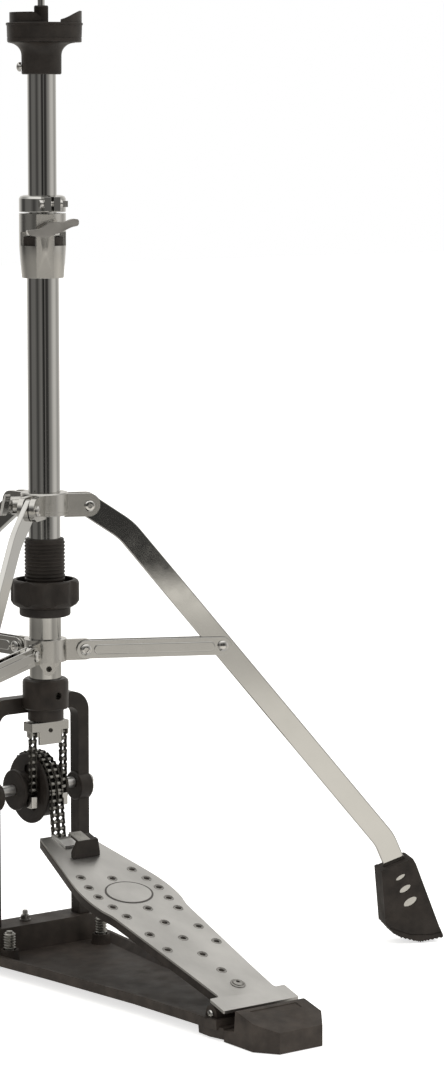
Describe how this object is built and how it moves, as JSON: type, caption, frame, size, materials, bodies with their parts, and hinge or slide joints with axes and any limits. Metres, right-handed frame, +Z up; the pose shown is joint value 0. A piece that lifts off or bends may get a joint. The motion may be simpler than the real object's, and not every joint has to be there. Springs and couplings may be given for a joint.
{
  "type": "hi-hat stand",
  "caption": "Hi-hat stand with a folding braced tripod, telescopic tube, cymbal seat and a swivelling chain pedal with a drilled footboard.",
  "frame": {"origin": "on the floor, on the axis of the stand's tube", "axes": "+Z up along the tube, -Y towards the pedal's heel, +X across the pedal"},
  "size_m": [0.6544, 0.7463, 1.165],
  "materials": {
    "chrome": "polished chrome plate",
    "steel": "plain steel",
    "aluminium": "brushed along the board",
    "black_metal": "satin black paint",
    "black_plastic": "satin moulded nylon",
    "rubber": "matt moulded rubber",
    "nylon": "natural nylon"
  },
  "bodies": {
    "stand": {"lower_tube": "chrome", "clamp_body": "chrome", "clamp_bushing": "nylon", "tension_sleeve": "black_plastic", "lower_collar": "chrome", "collar_screw": "steel", "brace_rivet_1": "chrome", "brace_rivet_2": "chrome", "brace_rivet_3": "chrome"},
    "clamp_wing": {"clamp_wing_bolt": "chrome"},
    "upper": {"upper_tube": "chrome", "seat_holder": "black_plastic", "seat_cup": "black_plastic", "seat_screw": "chrome"},
    "lock": {"lock_ring": "chrome", "lock_bolt": "chrome"},
    "tripod_slider": {"top_collar": "chrome", "leg_bolt_1": "chrome", "leg_bolt_2": "chrome", "leg_bolt_3": "chrome"},
    "tripod_wing": {"tripod_wing_bolt": "steel"},
    "leg_1_body": {"leg_1": "chrome", "foot_1": "rubber"},
    "brace_1_body": {"brace_1_left": "chrome", "brace_1_right": "chrome"},
    "leg_2_body": {"leg_2": "chrome", "foot_2": "rubber"},
    "brace_2_body": {"brace_2_left": "chrome", "brace_2_right": "chrome"},
    "leg_3_body": {"leg_3": "chrome", "foot_3": "rubber"},
    "brace_3_body": {"brace_3_left": "chrome", "brace_3_right": "chrome"},
    "tension_lift": {"tension_ring": "black_plastic", "spring_seat": "steel"},
    "tension_turn": {"tension_knob": "black_plastic"},
    "pedal": {"pedal_frame": "black_metal", "frame_screw": "black_metal", "base_plate": "black_plastic", "base_bolt": "chrome", "heel_block": "rubber", "hinge_pin": "chrome"},
    "spur_left_body": {"spur_left": "chrome"},
    "spur_right_body": {"spur_right": "chrome"},
    "drive_wheel": {"axle": "chrome", "center_cam": "black_plastic", "side_cam_left": "black_plastic", "side_cam_right": "black_plastic", "axle_nut_left": "chrome", "axle_nut_right": "chrome"},
    "board": {"footboard": "aluminium", "toe_block": "black_plastic", "chain_clip": "chrome"},
    "drive_chain_body": {"drive_chain": "steel"},
    "rod": {"pull_rod": "chrome", "chain_yoke": "chrome", "rod_chain_left": "steel", "rod_chain_right": "steel", "return_spring": "steel"}
  },
  "joints": [
    {"name": "clamp_wing_turn", "type": "hinge", "parent": "stand", "child": "clamp_wing", "pos_m": [-0.00912, -0.02806, 0.666], "axis": [-0.309, -0.9511, 0], "range_deg": [0, 180]},
    {"name": "height", "type": "slide", "parent": "stand", "child": "upper", "axis": [0, 0, 1], "range_m": [0, 0.15]},
    {"name": "lock_height", "type": "slide", "parent": "upper", "child": "lock", "axis": [0, 0, 1], "range_m": [0, 0.09]},
    {"name": "tripod_fold", "type": "slide", "parent": "stand", "child": "tripod_slider", "axis": [0, 0, 1], "range_m": [0, 0.15]},
    {"name": "tripod_wing_turn", "type": "hinge", "parent": "tripod_slider", "child": "tripod_wing", "pos_m": [-0.02745, 0.01211, 0.418], "axis": [-0.915, 0.4035, 0], "range_deg": [0, 180]},
    {"name": "leg_1_fold", "type": "hinge", "parent": "tripod_slider", "child": "leg_1_body", "pos_m": [0.03642, -0.01606, 0.4167], "axis": [0.4035, 0.915, 0], "range_deg": [0, 24.2]},
    {"name": "brace_1_fold", "type": "hinge", "parent": "stand", "child": "brace_1_body", "pos_m": [0.03312, -0.01461, 0.286], "axis": [-0.4035, -0.915, 0], "range_deg": [0, 61.1]},
    {"name": "leg_2_fold", "type": "hinge", "parent": "tripod_slider", "child": "leg_2_body", "pos_m": [-0.03212, -0.02351, 0.4167], "axis": [0.5906, -0.807, 0], "range_deg": [0, 24.2]},
    {"name": "brace_2_fold", "type": "hinge", "parent": "stand", "child": "brace_2_body", "pos_m": [-0.02921, -0.02138, 0.286], "axis": [-0.5906, 0.807, 0], "range_deg": [0, 61.1]},
    {"name": "leg_3_fold", "type": "hinge", "parent": "tripod_slider", "child": "leg_3_body", "pos_m": [-0.0043, 0.03957, 0.4167], "axis": [-0.9942, -0.108, 0], "range_deg": [0, 24.2]},
    {"name": "brace_3_fold", "type": "hinge", "parent": "stand", "child": "brace_3_body", "pos_m": [-0.00391, 0.03599, 0.286], "axis": [0.9942, 0.108, 0], "range_deg": [0, 61.1]},
    {"name": "tension_travel", "type": "slide", "parent": "stand", "child": "tension_lift", "axis": [0, 0, 1], "range_m": [0, 0.02475]},
    {"name": "tension_knob_turn", "type": "hinge", "parent": "tension_lift", "child": "tension_turn", "pos_m": [0, 0, 0.338], "axis": [0, 0, 1], "range_deg": [0, 2750]},
    {"name": "pedal_swivel", "type": "hinge", "parent": "stand", "child": "pedal", "pos_m": [0, 0, 0.247], "axis": [0, 0, 1], "range_deg": [-33, 27]},
    {"name": "spur_left_travel", "type": "slide", "parent": "pedal", "child": "spur_left_body", "axis": [0, 0, -1], "range_m": [-0.01, 0.003]},
    {"name": "spur_right_travel", "type": "slide", "parent": "pedal", "child": "spur_right_body", "axis": [0, 0, -1], "range_m": [-0.01, 0.003]},
    {"name": "footboard_press", "type": "hinge", "parent": "pedal", "child": "board", "pos_m": [0, -0.298, 0.02], "axis": [-1, 0, 0], "range_deg": [0, 5], "stiffness_Nm_per_rad": 12},
    {"name": "wheel_turn", "type": "hinge", "parent": "pedal", "child": "drive_wheel", "pos_m": [0, 0.017, 0.158], "axis": [1, 0, 0], "range_deg": [0, 45]},
    {"name": "drive_chain_swing", "type": "hinge", "parent": "board", "child": "drive_chain_body", "pos_m": [0, -0.019, 0.119], "axis": [1, 0, 0], "range_deg": [0, 14.5]},
    {"name": "rod_travel", "type": "slide", "parent": "pedal", "child": "rod", "axis": [0, 0, -1], "range_m": [0, 0.016], "deforming": ["return_spring"]}
  ],
  "couplings": [
    {"joint": "leg_1_fold", "follows": "tripod_fold", "rad_per_m": 2.7921},
    {"joint": "brace_1_fold", "follows": "tripod_fold", "rad_per_m": 7.083},
    {"joint": "leg_2_fold", "follows": "tripod_fold", "rad_per_m": 2.7921},
    {"joint": "brace_2_fold", "follows": "tripod_fold", "rad_per_m": 7.083},
    {"joint": "leg_3_fold", "follows": "tripod_fold", "rad_per_m": 2.7921},
    {"joint": "brace_3_fold", "follows": "tripod_fold", "rad_per_m": 7.083},
    {"joint": "tension_knob_turn", "follows": "tension_travel", "rad_per_m": 1904},
    {"joint": "wheel_turn", "follows": "footboard_press", "ratio": 8.8522},
    {"joint": "drive_chain_swing", "follows": "footboard_press", "ratio": 2.8},
    {"joint": "rod_travel", "follows": "footboard_press", "m_per_rad": 0.17704}
  ]
}
